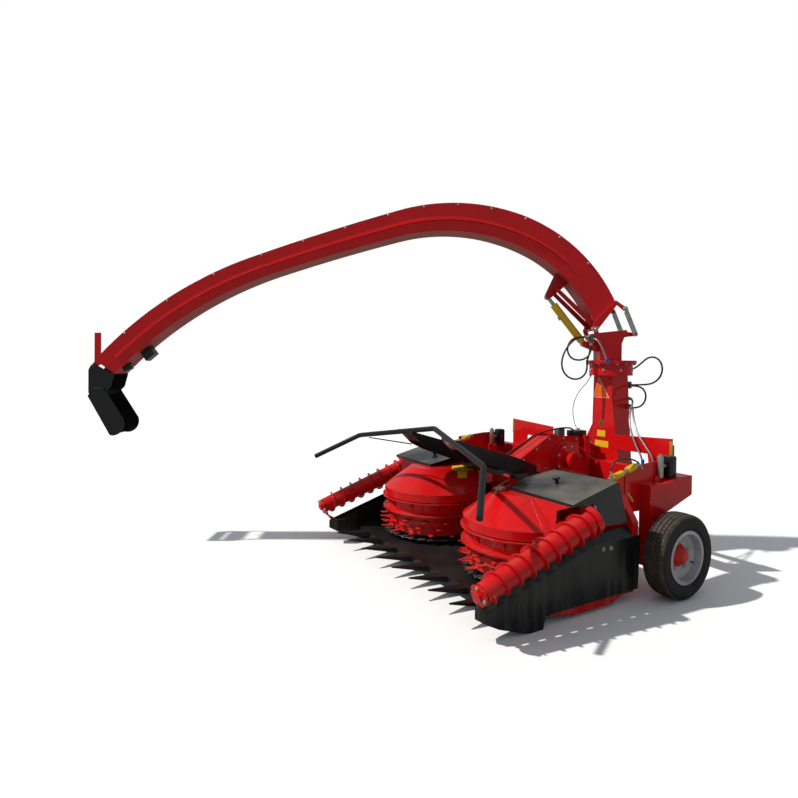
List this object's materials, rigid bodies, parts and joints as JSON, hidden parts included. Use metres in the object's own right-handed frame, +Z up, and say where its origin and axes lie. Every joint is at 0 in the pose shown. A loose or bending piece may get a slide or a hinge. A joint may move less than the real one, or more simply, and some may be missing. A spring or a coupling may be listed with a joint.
{
  "type": "mounted two-drum maize forage harvester",
  "caption": "Tractor-mounted maize forage harvester with two gathering drums, side augers, comb of dividing points, chopper tower and a long curved discharge spout.",
  "frame": {"origin": "centre of the drive shaft's free end, on the machine's centre plane, 600 mm above the ground", "axes": "+X to the machine's left, +Y along the drive shaft towards the tractor, +Z up"},
  "size_m": [3.5764, 4.3078, 2.9664],
  "materials": {
    "red_paint": "gloss",
    "black_sheet": "satin",
    "yellow_paint": "gloss",
    "silver_paint": "satin",
    "blade_steel": "satin",
    "zinc": "satin",
    "grey_cast": "matte",
    "rubber": "matte",
    "lamp_lens": "gloss"
  },
  "bodies": {
    "chassis": {"left_wheel_leg": "red_paint", "left_drum_hood": "red_paint", "left_gear_cover": "black_sheet", "left_side_panel": "black_sheet", "left_runner": "black_sheet", "left_auger_case": "red_paint", "right_wheel_leg": "red_paint", "right_drum_hood": "red_paint", "right_gear_cover": "black_sheet", "right_side_panel": "black_sheet", "right_runner": "black_sheet", "right_auger_case": "red_paint", "main_frame": "red_paint", "header_wall": "red_paint", "comb_floor": "black_sheet", "crop_bar": "black_sheet", "throat_cover": "black_sheet", "feed_housing": "red_paint", "chopper_housing": "red_paint", "discharge_tower": "red_paint", "headstock": "red_paint", "gearbox": "grey_cast", "rear_wings": "red_paint", "tail_lamps": "lamp_lens", "slew_motor": "grey_cast", "motor_hose": "rubber", "return_hose": "rubber"},
    "left_wheel": {"left_tyre": "rubber", "left_rim": "silver_paint", "left_hub": "red_paint"},
    "right_wheel": {"right_tyre": "rubber", "right_rim": "silver_paint", "right_hub": "red_paint"},
    "left_drum_body": {"left_drum": "red_paint"},
    "right_drum_body": {"right_drum": "red_paint"},
    "left_disc_body": {"left_disc": "blade_steel"},
    "right_disc_body": {"right_disc": "blade_steel"},
    "left_auger_body": {"left_auger": "red_paint"},
    "right_auger_body": {"right_auger": "red_paint"},
    "upper_roller_body": {"upper_roller": "blade_steel"},
    "lower_roller_body": {"lower_roller": "blade_steel"},
    "rotor_body": {"rotor": "blade_steel"},
    "turret_body": {"turret": "red_paint", "hose_block": "grey_cast", "upper_hose": "rubber", "lower_hose": "rubber"},
    "spout_body": {"spout": "red_paint", "spout_back": "red_paint", "spout_belly": "red_paint", "flap_actuator": "black_sheet"},
    "stay_body": {"stay_bars": "zinc"},
    "barrel_body": {"cylinder_barrel": "yellow_paint"},
    "rod_body": {"cylinder_rod": "zinc"},
    "upper_flap_body": {"flap_upper": "black_sheet"},
    "lower_flap_body": {"flap_lower": "black_sheet"}
  },
  "joints": [
    {"name": "left_wheel_spin", "type": "hinge", "parent": "chassis", "child": "left_wheel", "pos_m": [1.181, -0.833, -0.31], "axis": [1, 0, 0], "continuous": true},
    {"name": "left_drum_spin", "type": "hinge", "parent": "chassis", "child": "left_drum_body", "pos_m": [0.565, -1.668, -0.2], "axis": [0, 0, 1], "continuous": true},
    {"name": "left_disc_spin", "type": "hinge", "parent": "chassis", "child": "left_disc_body", "pos_m": [0.565, -1.668, -0.43], "axis": [0, 0, 1], "continuous": true},
    {"name": "left_auger_spin", "type": "hinge", "parent": "chassis", "child": "left_auger_body", "pos_m": [1.105, -2.478, -0.28], "axis": [0, 0.9485, 0.3169], "continuous": true},
    {"name": "right_wheel_spin", "type": "hinge", "parent": "chassis", "child": "right_wheel", "pos_m": [-1.181, -0.833, -0.31], "axis": [1, 0, 0], "continuous": true},
    {"name": "right_drum_spin", "type": "hinge", "parent": "chassis", "child": "right_drum_body", "pos_m": [-0.565, -1.668, -0.2], "axis": [0, 0, 1], "continuous": true},
    {"name": "right_disc_spin", "type": "hinge", "parent": "chassis", "child": "right_disc_body", "pos_m": [-0.565, -1.668, -0.43], "axis": [0, 0, 1], "continuous": true},
    {"name": "right_auger_spin", "type": "hinge", "parent": "chassis", "child": "right_auger_body", "pos_m": [-1.105, -2.478, -0.28], "axis": [0, 0.9485, 0.3169], "continuous": true},
    {"name": "upper_roller_spin", "type": "hinge", "parent": "chassis", "child": "upper_roller_body", "pos_m": [0, -1.215, -0.122], "axis": [1, 0, 0], "continuous": true},
    {"name": "lower_roller_spin", "type": "hinge", "parent": "chassis", "child": "lower_roller_body", "pos_m": [0, -1.215, -0.302], "axis": [1, 0, 0], "continuous": true},
    {"name": "rotor_spin", "type": "hinge", "parent": "chassis", "child": "rotor_body", "pos_m": [0, 0, 0], "axis": [0, 1, 0], "continuous": true},
    {"name": "turret_slew", "type": "hinge", "parent": "chassis", "child": "turret_body", "pos_m": [0.22, -0.352, 1], "axis": [0, 0, 1], "range_deg": [-75, 135]},
    {"name": "spout_fold", "type": "hinge", "parent": "turret_body", "child": "spout_body", "pos_m": [0.12409, -0.5055, 1.293], "axis": [-0.848, 0.5299, 0], "range_deg": [0, 46]},
    {"name": "stay_swing", "type": "hinge", "parent": "turret_body", "child": "stay_body", "pos_m": [0.30055, -0.2231, 1.252], "axis": [-0.848, 0.5299, 0], "range_deg": [0, 112]},
    {"name": "barrel_swing", "type": "hinge", "parent": "turret_body", "child": "barrel_body", "pos_m": [0.09335, -0.55468, 1.172], "axis": [-0.848, 0.5299, 0], "range_deg": [0, 39]},
    {"name": "rod_slide", "type": "slide", "parent": "barrel_body", "child": "rod_body", "axis": [-0.3261, -0.5219, 0.7882], "range_m": [0, 0.0745]},
    {"name": "upper_flap_tilt", "type": "hinge", "parent": "spout_body", "child": "upper_flap_body", "pos_m": [-2.17259, -4.18094, 0.94], "axis": [-0.848, 0.5299, 0], "range_deg": [-20, 25]},
    {"name": "lower_flap_tilt", "type": "hinge", "parent": "upper_flap_body", "child": "lower_flap_body", "pos_m": [-2.15828, -4.15804, 0.717], "axis": [-0.848, 0.5299, 0], "range_deg": [-22, 27]}
  ],
  "couplings": [
    {"joint": "right_drum_spin", "follows": "left_drum_spin", "ratio": -1},
    {"joint": "right_disc_spin", "follows": "left_disc_spin", "ratio": -1},
    {"joint": "right_auger_spin", "follows": "left_auger_spin", "ratio": -1},
    {"joint": "lower_roller_spin", "follows": "upper_roller_spin", "ratio": -1},
    {"joint": "stay_swing", "follows": "spout_fold", "ratio": 2.4},
    {"joint": "barrel_swing", "follows": "spout_fold", "ratio": 0.83},
    {"joint": "rod_slide", "follows": "spout_fold", "m_per_rad": 0.0917},
    {"joint": "lower_flap_tilt", "follows": "upper_flap_tilt", "ratio": 1}
  ]
}
